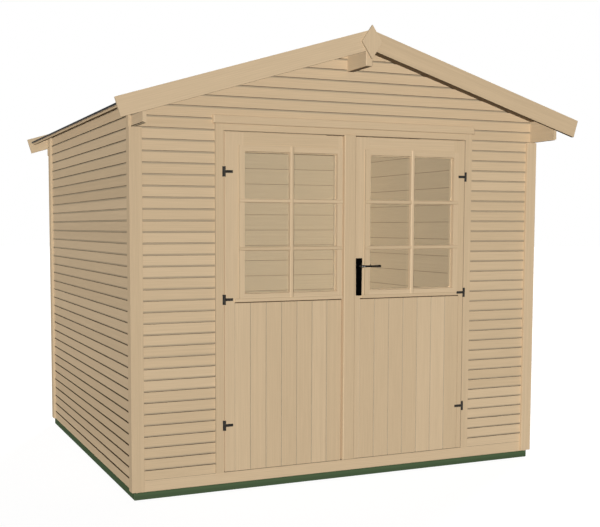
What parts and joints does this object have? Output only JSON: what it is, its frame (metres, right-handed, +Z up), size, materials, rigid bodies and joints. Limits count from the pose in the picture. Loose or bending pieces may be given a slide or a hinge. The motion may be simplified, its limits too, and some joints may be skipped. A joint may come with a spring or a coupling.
{
  "type": "wooden garden shed",
  "caption": "Timber garden shed with horizontal board walls, a glazed double door, a low felted gable roof with barge boards, and a treated base frame.",
  "frame": {"origin": "middle of the roof's plan, on the ground under the base beams", "axes": "+X to the right across the door front, +Y towards the back wall, +Z up"},
  "size_m": [2.692, 2.426, 2.4004],
  "materials": {
    "wall_boards": "planed untreated softwood boards",
    "trim_boards": "planed untreated softwood",
    "door_timber": "planed untreated softwood",
    "roof_timber": "planed untreated softwood boards",
    "floor_boards": "planed untreated softwood boards",
    "treated_base": "pressure treated green softwood",
    "roof_felt": "mineral roofing felt",
    "window_glass": "clear float glass",
    "black_iron": "black coated steel"
  },
  "bodies": {
    "root": {"base_cross_beams": "treated_base", "base_side_beams": "treated_base", "floor_bearers": "treated_base", "floor": "floor_boards", "front_sill": "trim_boards", "front_wall_left": "wall_boards", "front_wall_right": "wall_boards", "front_gable": "wall_boards", "left_wall": "wall_boards", "right_wall": "wall_boards", "back_wall": "wall_boards", "back_gable": "wall_boards", "front_corner_trims": "trim_boards", "back_corner_trims": "trim_boards", "door_jambs": "trim_boards", "door_frame_head": "trim_boards", "door_head_trim": "trim_boards", "ridge_purlin": "roof_timber", "left_eave_plank": "roof_timber", "right_eave_plank": "roof_timber", "left_roof_boards": "roof_timber", "right_roof_boards": "roof_timber", "left_roof_felt": "roof_felt", "right_roof_felt": "roof_felt", "front_left_barge": "trim_boards", "front_right_barge": "trim_boards", "back_left_barge": "trim_boards", "back_right_barge": "trim_boards", "front_gable_diamond": "trim_boards", "back_gable_diamond": "trim_boards", "hinge_plates": "black_iron"},
    "left_door": {"left_door_frame": "door_timber", "left_door_boards": "door_timber", "left_window_bead": "door_timber", "left_window_glass": "window_glass", "left_weather_bar": "door_timber", "left_hinge_straps": "black_iron"},
    "right_door": {"right_door_frame": "door_timber", "right_door_boards": "door_timber", "right_window_bead": "door_timber", "right_window_glass": "window_glass", "right_weather_bar": "door_timber", "right_hinge_straps": "black_iron", "meeting_strip": "door_timber", "handle_plates": "black_iron"},
    "handle": {"handle_lever": "black_iron"}
  },
  "joints": [
    {"name": "left_door_swing", "type": "hinge", "parent": "root", "child": "left_door", "pos_m": [-0.7285, -1.0015, 1], "axis": [0, 0, -1], "range_deg": [0, 160]},
    {"name": "right_door_swing", "type": "hinge", "parent": "root", "child": "right_door", "pos_m": [0.7285, -1.0015, 1], "axis": [0, 0, 1], "range_deg": [0, 160]},
    {"name": "handle_turn", "type": "hinge", "parent": "right_door", "child": "handle", "pos_m": [0.051, -0.996, 1.16], "axis": [0, 1, 0], "range_deg": [0, 40], "stiffness_Nm_per_rad": 1.2, "springref_deg": -28.65}
  ]
}
